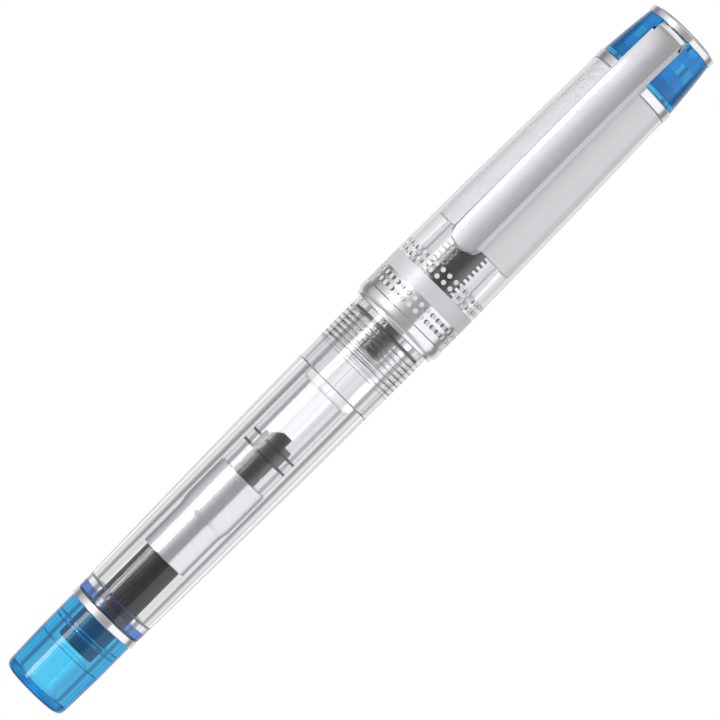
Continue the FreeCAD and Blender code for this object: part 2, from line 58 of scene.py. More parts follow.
# A capped, clear fountain pen standing on its tail. Sizes below are in millimetres, turned
# into metres when a mesh is made. Each part's ends and largest radius come from the frame's
# boxes, and the levels and radii in between are given with its outline.
MM = 0.001
SEGMENTS = 192
SHARP_ANGLE = math.radians(32)
GUARD = 0.02  # the strip beside each rounding that keeps the long faces' shading straight
FILM = 0.03  # the air left between two clear pieces that touch
SEAT = 0.02  # how far a piece moulded tight against a clear wall sinks into it
PRINT = 0.012  # half the thickness of the silver print

# Radii that neighbours share
SPIGOT_RADIUS = 4.38
SPIGOT_BORE = 3.3
SHELL_BORE_FOOT = 6.22
SHELL_BORE_TOP = 5.7
PLUG_RADIUS = 3.2

# The visible threads' pitches, and the height of the ridges that the section screws on
TAIL_PITCH = 0.68
SECTION_PITCH = 0.75
SECTION_THREAD_DEPTH = 0.1
PISTON_PITCH = 1.38


# ------------------------------------------------------------------ the frame's own sizes
class Extent:
    """A node's lowest and highest level and its largest radius, in millimetres."""

    def __init__(self, node):
        low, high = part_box(node)
        self.low = low[2] / MM
        self.high = high[2] / MM
        self.radius = high[0] / MM
        self.reach = -low[1] / MM


sizes = {node: Extent(node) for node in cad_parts}


# --------------------------------------------------------------------------- mesh helpers
def soften(corners, steps=4):
    """Rounds the corners of a closed outline given as (radius, level, rounding).

    A corner with no rounding is kept as it is, and its radius may be a function of the turn.
    """
    places = []
    for radius, level, *_ in corners:
        places.append(Vector((radius(0) if callable(radius) else radius, level)))
    points = []
    count = len(corners)
    for number, corner in enumerate(corners):
        here = places[number]
        rounding = corner[2] if len(corner) > 2 else 0
        if rounding == 0:
            points.append(corner[:2])
            continue
        before = places[number - 1] - here
        after = places[(number + 1) % count] - here
        first = here + before.normalized() * min(rounding, before.length / 2)
        last = here + after.normalized() * min(rounding, after.length / 2)
        curve = []
        if before.length / 2 > rounding + GUARD:
            curve.append(first + before.normalized() * GUARD)
        for step in range(steps + 1):
            part = step / steps
            curve.append(first.lerp(here, part).lerp(here.lerp(last, part), part))
        if after.length / 2 > rounding + GUARD:
            curve.append(last + after.normalized() * GUARD)
        points += [(point.x, point.y) for point in curve]
    return points


def arc_rows(start, end, bulge, steps):
    """Points along a shallow arc between two outline points, both ends left out."""
    rows = []
    for step in range(1, steps):
        part = step / steps
        swell = bulge * 4 * part * (1 - part)
        radius = start[0] + (end[0] - start[0]) * part + swell
        rows.append((radius, start[1] + (end[1] - start[1]) * part))
    return rows


def thread_rows(radius, depth, start, end, pitch, width=0.3, per_turn=14):
    """Rows of a helical groove, or of a ridge where the depth is negative.

    width is the share of the pitch that it takes up, and it fades out at both ends.
    """
    steepness = 1.6  # more than 1 gives the groove a flat bottom
    low = min(start, end)
    high = max(start, end)
    count = round((high - low) / pitch * per_turn)
    rows = []
    for step in range(count + 1):
        level = start + (end - start) * step / count

        def helix(turn, level=level):
            fade = max(0.0, min(1.0, (level - low) / pitch, (high - level) / pitch))
            phase = (level / pitch - turn) % 1
            flank = max(0.0, 1 - abs(phase - 0.5) * 2 / width)
            return radius - depth * fade * min(1.0, flank * steepness)

        rows.append((helix, level))
    return rows


def new_piece(name, bm, body, material, nodes=()):
    """Makes a mesh object in metres, smooth with sharp creases, and ties it to the frame."""
    bmesh.ops.recalc_face_normals(bm, faces=bm.faces)
    mesh = bpy.data.meshes.new(name)
    bm.to_mesh(mesh)
    bm.free()
    mesh.transform(Matrix.Scale(MM, 4))
    mesh.shade_smooth()
    mesh.set_sharp_from_angle(angle=SHARP_ANGLE)
    piece = bpy.data.objects.new(name, mesh)
    bpy.context.scene.collection.objects.link(piece)
    mesh.materials.append(material)
    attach(piece, body)
    if nodes:
        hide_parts(*nodes)
    return piece


def revolve(bm, rows, shape=None, segments=SEGMENTS):
    """Turns a closed outline of (radius, level) rows about the pen's axis."""
    rings = []
    for radius, level in rows:
        if radius == 0:
            rings.append([bm.verts.new((0, 0, level))])
            continue
        ring = []
        for number in range(segments):
            turn = number / segments
            reach = radius(turn) if callable(radius) else radius
            if shape:
                reach = shape(reach, level, turn)
            angle = turn * math.tau
            ring.append(bm.verts.new((reach * math.cos(angle), reach * math.sin(angle), level)))
        rings.append(ring)
    for one, two in zip(rings, rings[1:] + rings[:1]):
        if len(one) == 1 and len(two) == 1:
            continue
        for number in range(segments):
            following = (number + 1) % segments
            if len(one) == 1:
                bm.faces.new((one[0], two[following], two[number]))
            elif len(two) == 1:
                bm.faces.new((one[number], one[following], two[0]))
            else:
                bm.faces.new((one[number], one[following], two[following], two[number]))


def turned(name, corners, body, material, shape=None, segments=SEGMENTS):
    """A turned piece that stands for the CAD node of the same name."""
    bm = bmesh.new()
    revolve(bm, soften(corners), shape, segments)
    return new_piece(name + "_look", bm, body, material, (name,))


# ------------------------------------------------------------------------------ materials
ACRYLIC_INDEX = 1.49
NOISE_LOW = 0.3  # the range that the noise mostly keeps to
NOISE_HIGH = 0.7
METAL_GRAIN = 0.00002  # the height of the surface's unevenness, in metres
PLASTIC_GRAIN = 0.00003


def new_material(name):
    """Returns a new material, its node tree and its shader."""
    material = bpy.data.materials.new(name)
    material.use_nodes = True
    return material, material.node_tree, material.node_tree.nodes["Principled BSDF"]


def add_noise(tree, scale, detail=3.0, stretch=(1, 1, 1)):
    """Noise over the object's own coordinates, in metres."""
    place = tree.nodes.new("ShaderNodeTexCoord")
    mapping = tree.nodes.new("ShaderNodeMapping")
    mapping.inputs["Scale"].default_value = stretch
    noise = tree.nodes.new("ShaderNodeTexNoise")
    noise.inputs["Scale"].default_value = scale
    noise.inputs["Detail"].default_value = detail
    tree.links.new(place.outputs["Object"], mapping.inputs["Vector"])
    tree.links.new(mapping.outputs["Vector"], noise.inputs["Vector"])
    return noise


def vary(tree, noise, socket, low, high):
    """Drives a socket between two values with the noise."""
    spread = tree.nodes.new("ShaderNodeMapRange")
    spread.inputs["From Min"].default_value = NOISE_LOW
    spread.inputs["From Max"].default_value = NOISE_HIGH
    spread.inputs["To Min"].default_value = low
    spread.inputs["To Max"].default_value = high
    tree.links.new(noise.outputs["Fac"], spread.inputs["Value"])
    tree.links.new(spread.outputs["Result"], socket)


def add_bump(tree, noise, shader, strength, distance):
    """Makes the surface uneven with the noise."""
    bump = tree.nodes.new("ShaderNodeBump")
    bump.inputs["Strength"].default_value = strength
    bump.inputs["Distance"].default_value = distance
    tree.links.new(noise.outputs["Fac"], bump.inputs["Height"])
    tree.links.new(bump.outputs["Normal"], shader.inputs["Normal"])


def mix_colours(tree, noise, socket, one, two):
    """Drives a socket between two colours with the noise."""
    ramp = tree.nodes.new("ShaderNodeValToRGB")
    ramp.color_ramp.elements[0].position = 0.35
    ramp.color_ramp.elements[0].color = (*one, 1)
    ramp.color_ramp.elements[1].position = 0.65
    ramp.color_ramp.elements[1].color = (*two, 1)
    tree.links.new(noise.outputs["Fac"], ramp.inputs["Fac"])
    tree.links.new(ramp.outputs["Color"], socket)


def clear_plastic(name, tint=(0.985, 0.985, 0.99), absorbs=None, glow=None):
    """Polished moulded acrylic. absorbs is the colour it lets through and how densely.

    glow is a painted glow, light that the plastic gives off though it is no lamp, as a colour and
    a strength.
    """
    material, tree, shader = new_material(name)
    shader.inputs["Base Color"].default_value = (*tint, 1)
    shader.inputs["Transmission Weight"].default_value = 1.0
    shader.inputs["IOR"].default_value = ACRYLIC_INDEX
    noise = add_noise(tree, 260, 2.0, (1, 1, 0.25))
    vary(tree, noise, shader.inputs["Roughness"], 0.0, 0.01)
    # Painted glow: emission on plastic that is no lamp
    if glow:
        shader.inputs["Emission Color"].default_value = (*glow[0], 1)
        shader.inputs["Emission Strength"].default_value = glow[1]
    if absorbs:
        volume = tree.nodes.new("ShaderNodeVolumeAbsorption")
        volume.inputs["Color"].default_value = (*absorbs[0], 1)
        volume.inputs["Density"].default_value = absorbs[1]
        output = tree.nodes["Material Output"]
        tree.links.new(volume.outputs["Volume"], output.inputs["Volume"])
    return material


def metal(name, one, two, rough, grain=(1, 1, 1), scale=900, bump=0.06):
    """Plated or turned metal with a faint grain."""
    material, tree, shader = new_material(name)
    shader.inputs["Metallic"].default_value = 1.0
    noise = add_noise(tree, scale, 4.0, grain)
    mix_colours(tree, noise, shader.inputs["Base Color"], one, two)
    vary(tree, noise, shader.inputs["Roughness"], rough[0], rough[1])
    add_bump(tree, noise, shader, bump, METAL_GRAIN)
    return material


def opaque(name, one, two, rough, scale=700, bump=0.05, **more):
    """Moulded plastic or rubber."""
    material, tree, shader = new_material(name)
    noise = add_noise(tree, scale, 5.0)
    mix_colours(tree, noise, shader.inputs["Base Color"], one, two)
    vary(tree, noise, shader.inputs["Roughness"], rough[0], rough[1])
    add_bump(tree, noise, shader, bump, PLASTIC_GRAIN)
    for socket, amount in more.items():
        shader.inputs[socket.replace("_", " ")].default_value = amount
    return material


CLEAR = clear_plastic("clear_acrylic")
# Painted glow: the colour and the strength of the light that the blue plastic gives off though it
# is no lamp
PAINTED_BLUE_GLOW = ((0.0, 0.38, 1.0), 0.065)
BLUE = clear_plastic("blue_acrylic", (0.78, 0.87, 0.85), ((0.0, 0.76, 0.91), 600.0), PAINTED_BLUE_GLOW)
# The spigot's blue is a painted reflection: a blue piece that stands in for the blue cup seen
# through the barrel's foot
SPIGOT_PAINTED_REFLECTION = clear_plastic("spigot_painted_reflection", (0.6, 0.78, 0.98), ((0.0, 0.45, 0.9), 500.0))
DEEP_BLUE = clear_plastic("deep_blue_acrylic", (0.50, 0.97, 0.92), ((0.0, 0.68, 0.86), 560.0),
                          PAINTED_BLUE_GLOW)
# The frosted plastic's emission is a painted glow that brightens the inner cap evenly, though it
# is no lamp
FROSTED = opaque("frosted_plastic", (0.90, 0.91, 0.93), (0.94, 0.95, 0.97), (0.45, 0.6), 1500,
                 Emission_Strength=0.24)
SILVER = metal("satin_chrome", (0.87, 0.87, 0.88), (0.92, 0.92, 0.93), (0.08, 0.14))
CHROME = metal("polished_chrome", (0.84, 0.84, 0.86), (0.86, 0.86, 0.88), (0.11, 0.13), bump=0.015)
BAND = opaque("silver_print", (0.78, 0.78, 0.80), (0.81, 0.81, 0.83), (0.36, 0.46), 2500,
              Metallic=0.15)
DOTS = opaque("pearl_print", (0.84, 0.84, 0.86), (0.90, 0.90, 0.91), (0.30, 0.42), 2500)
STEEL = metal("turned_steel", (0.78, 0.78, 0.81), (0.86, 0.86, 0.88), (0.10, 0.2), (1, 1, 12))
NIB_STEEL = metal("nib_steel", (0.76, 0.76, 0.78), (0.84, 0.84, 0.86), (0.08, 0.16))
BLACK = opaque("black_plastic", (0.008, 0.008, 0.009), (0.014, 0.013, 0.015), (0.12, 0.2),
               bump=0.01, Specular_IOR_Level=0.5)
KNOB_BLACK = opaque("knob_black", (0.007, 0.006, 0.007), (0.012, 0.011, 0.012), (0.2, 0.28),
                    bump=0.01, Specular_IOR_Level=0.14)
RUBBER = opaque("black_rubber", (0.010, 0.010, 0.010), (0.018, 0.018, 0.018), (0.35, 0.5))
SEAL = opaque("grey_seal", (0.10, 0.10, 0.11), (0.16, 0.16, 0.17), (0.35, 0.5))


# ------------------------------------------------------------------------- barrel pieces
def make_tail_cap():
    """The cup, with a short thread in its bore, and the spigot inside the barrel's foot."""
    size = sizes["tail_cap"]
    rim = sizes["tail_ring"].low - FILM
    split = sizes["tail_ring"].low + 0.5  # hidden by the ring, where the cup's dye meets the spigot's painted reflection
    neck = SPIGOT_BORE
    bore = 3.18
    floor = 1.15
    thread_low = 9.1
    thread_high = 10.9
    corners = [(0, size.low), (size.radius - 0.19, size.low, 1.1), (size.radius, 6.5, 1.0)]
    corners += [(size.radius, rim, 0.06), (SPIGOT_RADIUS, rim, 0.03), (SPIGOT_RADIUS, split)]
    corners += [(neck, split), (neck, 11.0)]
    corners += thread_rows(neck, -0.17, thread_high, thread_low, TAIL_PITCH, 0.4)
    corners += [(neck, 9.0), (neck, 6.9, 0.05), (bore, 6.75, 0.05)]
    corners += [(bore, floor, 0.5), (0, floor)]
    turned("tail_cap", corners, "barrel", BLUE)
    # The spigot, tinted with the painted reflection of the blue cup
    bm = bmesh.new()
    revolve(bm, soften([
        (neck, split + FILM), (SPIGOT_RADIUS, split + FILM),
        (SPIGOT_RADIUS, size.high, 0.08), (neck, size.high, 0.08),
    ]))
    new_piece("tail_spigot", bm, "barrel", SPIGOT_PAINTED_REFLECTION, ("tail_cap",))


def make_tail_ring():
    size = sizes["tail_ring"]
    inner = 4.42
    turned("tail_ring", [
        (inner, size.low), (size.radius, size.low, 0.15),
        (size.radius, size.high, 0.15), (inner, size.high),
    ], "barrel", SILVER)


def make_barrel_tube():
    """The clear barrel: a foot round the spigot, a narrow neck, and a thread in its mouth."""
    size = sizes["barrel_tube"]
    foot_bore = SPIGOT_RADIUS - SEAT
    seat = sizes["tail_cap"].high - SEAT  # the end of the bore that holds the spigot
    neck = SPIGOT_BORE
    bore = 4.05
    plain = 5.36  # the stretch below the thread
    thread = 5.42
    mouth = 5.5
    thread_low = 59.1
    thread_high = 64.7
    low = size.low + FILM
    foot = (5.24, low + 0.1)
    full = (size.radius, 63.0)
    corners = [(foot_bore, low, 0.05), (foot[0] - 0.1, low, 0.05), foot]
    corners += arc_rows(foot, full, 0.12, 24)
    corners += [full, (size.radius, size.high, 0.12), (mouth, size.high, 0.1)]
    corners += [(mouth, 64.85, 0.03), (thread, 64.8)]
    corners += thread_rows(thread, -SECTION_THREAD_DEPTH, thread_high, thread_low,
                           SECTION_PITCH, 0.25, 20)
    corners += [(thread, 59.0), (plain, 58.95), (plain, 55.25, 0.05), (bore, 55.25, 0.08)]
    corners += [(bore, 16.3, 0.1), (neck, 16.1, 0.1), (neck, seat, 0.02)]
    corners += [(foot_bore, seat, 0.02)]
    turned("barrel_tube", corners, "barrel", CLEAR)


# ----------------------------------------------------------------- section, feed and nib
def make_sealing_washer():
    size = sizes["sealing_washer"]
    inner = 4.74
    turned("sealing_washer", [
        (inner, size.low, 0.1), (size.radius, size.low, 0.12),
        (size.radius, size.high, 0.12), (inner, size.high, 0.1),
    ], "washer", SEAL)


def make_grip_section():
    """The clear section: its thread, the collar under the cap and the grip inside the cap."""
    size = sizes["grip_section"]
    mouth = sizes["barrel_tube"].high + FILM
    socket = 3.7
    plain = 5.31  # the stretch below the thread
    crest = 5.37
    shank = 5.43
    collar = 5.9
    relief = 4.7
    thread_low = 59.45
    thread_high = 64.75
    throat = 1.95
    room = 4.0
    front_bore = 3.05
    shoulder = (5.25, 68.05)
    neck = (4.6, 87.6)
    corners = [(socket, size.low, 0.1), (plain, size.low, 0.1), (plain, 59.38), (crest, 59.4)]
    corners += thread_rows(crest, SECTION_THREAD_DEPTH, thread_low, thread_high,
                           SECTION_PITCH, 0.25, 20)
    corners += [(crest, 64.85, 0.03), (relief, 64.85, 0.05), (relief, 65.3, 0.05)]
    corners += [(shank, 65.3, 0.03), (shank, mouth, 0.05), (collar, mouth, 0.08)]
    corners += [(collar, 68.0, 0.12), shoulder]
    corners += arc_rows(shoulder, neck, -0.1, 14)
    corners += [neck, (4.8, 88.6, 0.5), (4.6, size.high, 0.25), (front_bore, size.high, 0.1)]
    corners += [(front_bore, 83.0, 0.2), (room, 82.0, 0.4), (room, 71.0, 0.5)]
    corners += [(throat, 70.4, 0.2), (throat, 68.5, 0.1), (socket, 68.5, 0.3)]
    turned("grip_section", corners, "section", CLEAR)


def make_feed():
    """The feed: a comb of thin fins round a core, a nipple behind and a sloped tongue ahead."""
    size = sizes["nib_feed"]
    pitch = 0.79
    start = 70.9
    fins = 14
    fin_radius = 2.84
    fin_width = 0.39
    core = 2.25
    nipple = 1.86
    tongue = 2.7
    slot_floor = 1.7
    half_slot = 0.22
    corners = [(0, size.low), (1.56, size.low, 0.1), (nipple, size.low + 0.6, 0.2)]
    corners += [(nipple, start, 0.05)]
    for fin in range(fins):
        low = start + fin * pitch
        corners += [(core, low, 0.05), (fin_radius, low, 0.06)]
        corners += [(fin_radius, low + fin_width, 0.06), (core, low + fin_width, 0.05)]
    corners += [(core, 82.3), (tongue, 82.3, 0.1), (tongue, 91.5, 1.5)]
    corners += [(0.7, size.high, 0.3)]
    corners += [(0, size.high)]

    def channel(reach, level, turn):
        """A narrow slot along the nib's side."""
        angle = (turn - 0.75) * math.tau
        across = reach * math.sin(angle)
        if abs(across) < half_slot and math.cos(angle) > 0 and level > start + 0.5:
            return min(reach, slot_floor)
        return reach

    turned("nib_feed", corners, "section", BLACK, channel)


def make_nib():
    """A curved steel leaf that narrows to a slit point, with a round vent behind the slit."""
    size = sizes["nib"]
    base = 2.75
    point = 0.42
    thick = 0.24
    slit = 0.05
    vent_radius = 0.55
    shoulder = size.low + 8.8
    vent = size.low + 14.3
    stations = 60
    around = 16
    half_wrap = math.radians(94)
    bm = bmesh.new()
    for side in (-1, 1):
        outer = []
        inner = []
        for step in range(stations + 1):
            part = step / stations
            level = size.low + (size.high - size.low) * part
            along = max(0.0, (level - shoulder) / (size.high - shoulder))
            radius = base + (point - base) * along ** 1.12
            droop = 0.35 * along ** 3
            gap = 0.0
            if level > vent:
                gap = slit
            away = level - vent
            if abs(away) < vent_radius:
                gap = math.sqrt(vent_radius ** 2 - away ** 2)
            ring_out = []
            ring_in = []
            for number in range(around + 1):
                start = gap / radius
                angle = start + (half_wrap - start) * number / around
                for ring, reach in ((ring_out, radius + thick), (ring_in, radius)):
                    across = side * reach * math.sin(angle)
                    forward = -reach * math.cos(angle) + droop
                    ring.append(bm.verts.new((across, forward, level)))
            outer.append(ring_out)
            inner.append(ring_in)
        for step in range(stations):
            for number in range(around):
                quads = (
                    [outer[step][number], outer[step][number + 1],
                     outer[step + 1][number + 1], outer[step + 1][number]],
                    [inner[step][number + 1], inner[step][number],
                     inner[step + 1][number], inner[step + 1][number + 1]],
                )
                for quad in quads:
                    bm.faces.new(quad)
            for number in (0, around):
                bm.faces.new([
                    outer[step][number], outer[step + 1][number],
                    inner[step + 1][number], inner[step][number],
                ])
        for step in (0, stations):
            for number in range(around):
                bm.faces.new([
                    outer[step][number], outer[step][number + 1],
                    inner[step][number + 1], inner[step][number],
                ])
    bmesh.ops.remove_doubles(bm, verts=bm.verts, dist=0.0005)
    new_piece("nib_look", bm, "section", NIB_STEEL, ("nib",))


# ------------------------------------------------------------------------------ converter
def make_converter_tube():
    """The ink chamber, with the socket for the feed's nipple above it."""
    size = sizes["converter_tube"]
    shoulder = 38.85
    chamber = 2.62
    body = 3.64
    shank = 3.3
    socket = 1.92
    socket_floor = 61.3
    roof = 53.9
    duct = 0.03
    turned("converter_tube", [
        (chamber, size.low, 0.05), (shank, size.low, 0.05), (shank, shoulder + FILM),
        (body, shoulder + FILM, 0.05), (body, 54.1, 0.03), (size.radius, 54.1, 0.08),
        (size.radius, 55.22, 0.1), (body, 55.24, 0.05), (body, size.high - 1, 0.2),
        (3.14, size.high, 0.1), (socket, size.high, 0.1), (socket, socket_floor, 0.1),
        (duct, socket_floor, 0.03), (duct, roof, 0.03), (chamber, roof, 0.08),
    ], "converter", CLEAR)


def make_converter_sleeve():
    size = sizes["converter_sleeve"]
    narrow = 3.53
    guide_bore = 2.5
    bore = 3.35
    ledge = 25.0
    turned("converter_sleeve", [
        (guide_bore, size.low), (narrow, size.low, 0.15), (narrow, 30.9, 0.5),
        (size.radius, 32.2, 0.5), (size.radius, size.high, 0.12), (bore, size.high),
        (bore, ledge), (guide_bore, ledge),
    ], "converter", STEEL)


def make_spindle_guide():
    size = sizes["spindle_guide"]
    bore = 1.47
    turned("spindle_guide", [
        (bore, size.low), (size.radius, size.low, 0.15),
        (size.radius, size.high, 0.15), (bore, size.high),
    ], "converter", BLACK)


def make_converter_knob():
    """The knob, with a stretch of fine ribs along it."""
    size = sizes["converter_knob"]
    grip = 2.88
    ribs = 30
    rib_depth = 0.12
    rib_low = 14.6
    rib_high = 19.3
    waist = 2.4
    collar = 3.2
    bore = 1.5
    floor = 10.5

    def ribbed(reach, level, turn):
        inside = rib_low + 0.05 < level < rib_high - 0.05
        if inside and reach > grip - 0.01:
            return reach - rib_depth * (0.5 + 0.5 * math.cos(turn * ribs * math.tau)) ** 3
        return reach

    turned("converter_knob", [
        (0, size.low), (grip, size.low, 0.3), (grip, 13.9), (grip - 0.04, 14.0),
        (grip - 0.04, rib_low - 0.1), (grip, rib_low), (grip, rib_low + 0.1),
        (grip, rib_high - 0.1), (grip, rib_high), (grip, 24.1, 0.12), (waist, 24.1),
        (waist, 25.1), (collar, 25.1, 0.1), (collar, size.high), (bore, size.high),
        (bore, floor), (0, floor),
    ], "knob", KNOB_BLACK, ribbed, 240)


def make_piston():
    """The threaded rod with its head, and the rubber seal on a pin at the head's end."""
    size = sizes["piston_rod"]
    thread = 1.22
    rod = 1.42
    head = 1.8
    groove = 1.66
    pin = 0.98
    head_top = size.high - 2.3
    corners = [(0, size.low), (1.1, size.low), (thread, size.low + 0.2)]
    corners += thread_rows(thread, -0.2, size.low + 0.3, 34.0, PISTON_PITCH, 0.6, 8)
    corners += [(1.3, 34.3), (rod, 34.5), (rod, 37.0), (head, 37.0, 0.1), (head, 40.1, 0.03)]
    corners += [(groove, 40.14), (groove, 40.3), (head, 40.34, 0.03), (head, head_top)]
    corners += [(pin, head_top), (pin, size.high), (0, size.high)]
    turned("piston_rod", corners, "piston", BLACK)

    size = sizes["piston_seal"]
    lip = size.radius + 0.03
    waist = 2.3
    neck = 1.75
    stub = 1.13
    socket = 0.99
    socket_end = size.high - 1.85
    step = 45.35
    corners = [
        (socket, size.low), (lip, size.low, 0.08), (lip, size.low + 0.42, 0.08),
        (waist, size.low + 0.45, 0.05), (waist, 44.25, 0.05), (lip, 44.25, 0.08),
        (lip, 44.67, 0.08), (waist, 44.7, 0.05), (waist, step, 0.12), (neck, step),
    ]
    corners += [(neck, step + 0.1 * number) for number in range(1, 13)]
    corners += [(neck, size.high), (0.5, size.high), (0, size.high)]
    corners += [(0, socket_end), (socket, socket_end)]

    def sloped(reach, level, turn):
        """The stub is round on one side and slopes off on the other."""
        if level < step or reach < 1 or (level == step and reach > 2):
            return reach
        side = -math.cos(turn * math.tau)
        round_side = min(reach, stub)
        if side <= 0:
            return round_side
        slope = 0.12 + 1.6 * (size.high - level) / (size.high - step)
        widest = math.sqrt(round_side ** 2 + (reach ** 2 - round_side ** 2) * side)
        return min(widest, slope / side)

    turned("piston_seal", corners, "piston", RUBBER, sloped)


# ------------------------------------------------------------------------------------ cap
def make_cap_lip_ring():
    """The lip, and the silver liner that runs up inside the shell to the band."""
    size = sizes["cap_lip_ring"]
    shell = sizes["cap_shell"].low
    liner = SHELL_BORE_FOOT + SEAT
    bore = 6.04
    edge = 6.5
    turned("cap_lip_ring", [
        (bore, size.low, 0.08), (edge, size.low, 0.12), (edge, size.low + 0.55, 0.05),
        (size.radius - 0.2, size.low + 0.6, 0.1), (size.radius, size.low + 1.3, 0.5),
        (size.radius - 0.1, shell, 0.12), (liner, shell, 0.02), (liner, size.high, 0.03),
        (bore, size.high, 0.03),
    ], "cap", SILVER)


STRAIGHT_LEVEL = 77.0  # the cap is straight below this level
NARROW_LEVEL = 107.0  # and straight again above this one


def wall_rows(foot, top, start, count):
    """The cap wall's radius from a start level up to the narrow part, a shallow arc."""
    bulge = 0.3
    rows = []
    for number in range(count + 1):
        level = start + (NARROW_LEVEL - start) * number / count
        part = (level - STRAIGHT_LEVEL) / (NARROW_LEVEL - STRAIGHT_LEVEL)
        rows.append((foot + (top - foot) * part + bulge * part * (1 - part), level))
    return rows


def make_cap_shell():
    """The clear outer wall of the cap."""
    size = sizes["cap_shell"]
    outer_top = 6.18
    low = size.low + FILM
    high = size.high - FILM
    corners = [(SHELL_BORE_FOOT, low, 0.05), (size.radius, low, 0.1)]
    corners += wall_rows(size.radius, outer_top, STRAIGHT_LEVEL, 16)
    corners += [(outer_top, high, 0.12), (SHELL_BORE_TOP, high, 0.03)]
    corners += wall_rows(SHELL_BORE_FOOT, SHELL_BORE_TOP, STRAIGHT_LEVEL, 16)[::-1]
    turned("cap_shell", corners, "cap", CLEAR)


def make_cap_band():
    """The plain silver band, a thin print that lies on the shell."""
    size = sizes["cap_band"]
    turned("cap_band", [
        (size.radius - PRINT, size.low), (size.radius + PRINT, size.low, 0.01),
        (size.radius + PRINT, size.high, 0.01), (size.radius - PRINT, size.high),
    ], "cap", BAND)


def make_band_dots():
    """Rows of silver dots printed round the cap, two each side of the band."""
    radius = sizes["cap_shell"].radius
    count = 36
    dot = 0.34
    corner_count = 16
    levels = (69.72, 70.86, 74.84, 75.98)
    bm = bmesh.new()
    for level in levels:
        for number in range(count):
            middle = (number + 0.5) / count * math.tau
            rings = []
            for reach in (radius - PRINT, radius + PRINT):
                ring = []
                for corner in range(corner_count):
                    turn = corner / corner_count * math.tau
                    angle = middle + dot * math.cos(turn) / radius
                    across = reach * math.cos(angle)
                    forward = reach * math.sin(angle)
                    up = level + dot * math.sin(turn)
                    ring.append(bm.verts.new((across, forward, up)))
                rings.append(ring)
            foot, top = rings
            bm.faces.new(top)
            bm.faces.new(foot[::-1])
            for corner in range(corner_count):
                following = (corner + 1) % corner_count
                bm.faces.new((top[corner], foot[corner], foot[following], top[following]))
    new_piece("band_dots", bm, "cap", DOTS)


def make_inner_cap():
    """The frosted inner cap, with a film of air between it and the shell."""
    size = sizes["inner_cap"]
    top_radius = SHELL_BORE_TOP - FILM
    end = sizes["cap_shell"].high - 2 * FILM
    mouth = 5.34
    hollow = 4.7
    roof = 108.1
    corners = [(mouth, size.low, 0.1), (6.15, size.low, 0.12)]
    corners += wall_rows(SHELL_BORE_FOOT - FILM, top_radius, size.low + 0.3, 14)
    corners += [(top_radius, end, 0.05), (0, end), (0, roof), (hollow, roof, 0.6)]
    corners += [(hollow, 90.4, 0.3), (mouth, 89.8, 0.3)]
    turned("inner_cap", corners, "cap", FROSTED)


def make_cap_ring():
    size = sizes["cap_ring"]
    inner = 5.12
    turned("cap_ring", [
        (inner, size.low), (size.radius, size.low, 0.22),
        (size.radius, size.high, 0.22), (inner, size.high),
    ], "cap", SILVER)


def make_crown():
    """The blue crown and the plug inside it. The slot for the clip's tab opens at the top."""
    size = sizes["cap_crown"]
    ring_top = sizes["cap_ring"].high + FILM
    foot = (6.03, ring_top + 0.08)
    rim = (5.28, size.high - FILM)
    ring_low = sizes["cap_ring"].low + FILM
    spigot = 5.08
    hollow = 4.0
    web_low = 112.0
    web_high = 113.4
    corners = [(hollow, ring_low, 0.05), (spigot, ring_low, 0.05), (spigot, ring_top)]
    corners += [(foot[0] - 0.08, ring_top), foot]
    corners += arc_rows(foot, rim, 0.06, 12)
    corners += [rim, (PLUG_RADIUS, rim[1]), (PLUG_RADIUS, web_high), (0, web_high)]
    corners += [(0, web_low), (hollow, web_low, 0.3)]
    crown = turned("cap_crown", corners, "cap", DEEP_BLUE)
    low = sizes["crown_plug"].low + FILM
    high = sizes["crown_plug"].high - FILM
    plug_radius = PLUG_RADIUS + SEAT
    plug_bore = 1.2
    groove = 2.6
    plug = turned("crown_plug", [
        (plug_bore, low), (plug_radius, low, 0.1), (plug_radius, 115.0), (groove, 115.05),
        (groove, 116.6), (plug_radius, 116.65), (plug_radius, high, 0.1), (plug_bore, high),
    ], "cap", DEEP_BLUE)
    slot_width = 5.1
    slot_floor = 118.0
    for piece in (crown, plug):
        cut_slot(piece, slot_width, slot_floor)


def cut_slot(piece, width, floor):
    """Cuts the clip's slot out of a turned piece with a boolean, applied to the mesh."""
    depth = 8
    height = 4
    middle = Vector((0, -4.2, floor + height / 2))
    bm = bmesh.new()
    bmesh.ops.create_cube(bm, size=1)
    place = Matrix.Translation(middle) @ Matrix.Diagonal((width, depth, height, 1))
    bmesh.ops.transform(bm, verts=bm.verts, matrix=place)
    mesh = bpy.data.meshes.new("slot_cutter")
    bm.to_mesh(mesh)
    bm.free()
    mesh.transform(Matrix.Scale(MM, 4))
    cutter = bpy.data.objects.new("slot_cutter", mesh)
    bpy.context.scene.collection.objects.link(cutter)
    cut = piece.modifiers.new("slot", "BOOLEAN")
    cut.operation = "DIFFERENCE"
    cut.object = cutter
    cut.solver = "EXACT"
    bpy.context.view_layer.update()
    graph = bpy.context.evaluated_depsgraph_get()
    result = bpy.data.meshes.new_from_object(piece.evaluated_get(graph))
    piece.modifiers.clear()
    piece.data = result
    result.shade_smooth()
    result.set_sharp_from_angle(angle=SHARP_ANGLE)
    bpy.data.objects.remove(cutter)


def make_finial():
    """The domed top, with the pin that holds it in the plug."""
    size = sizes["cap_finial"]
    seat = sizes["cap_crown"].high
    pin = 1.15
    rim = (size.radius, seat + 0.95)
    crest = seat + 1.05
    corners = [(0, size.low), (pin - 0.15, size.low), (pin, size.low + 0.15), (pin, seat)]
    corners += [(size.radius, seat, 0.12), rim + (0.2,), (size.radius - 0.35, crest, 0.1)]
    dome_steps = 8
    for number in range(1, dome_steps + 1):
        quarter = number / dome_steps * math.pi / 2
        radius = (size.radius - 0.4) * math.cos(quarter) if number < dome_steps else 0
        corners.append((radius, crest + (size.high - crest) * math.sin(quarter)))
    turned("cap_finial", corners, "cap", CHROME)


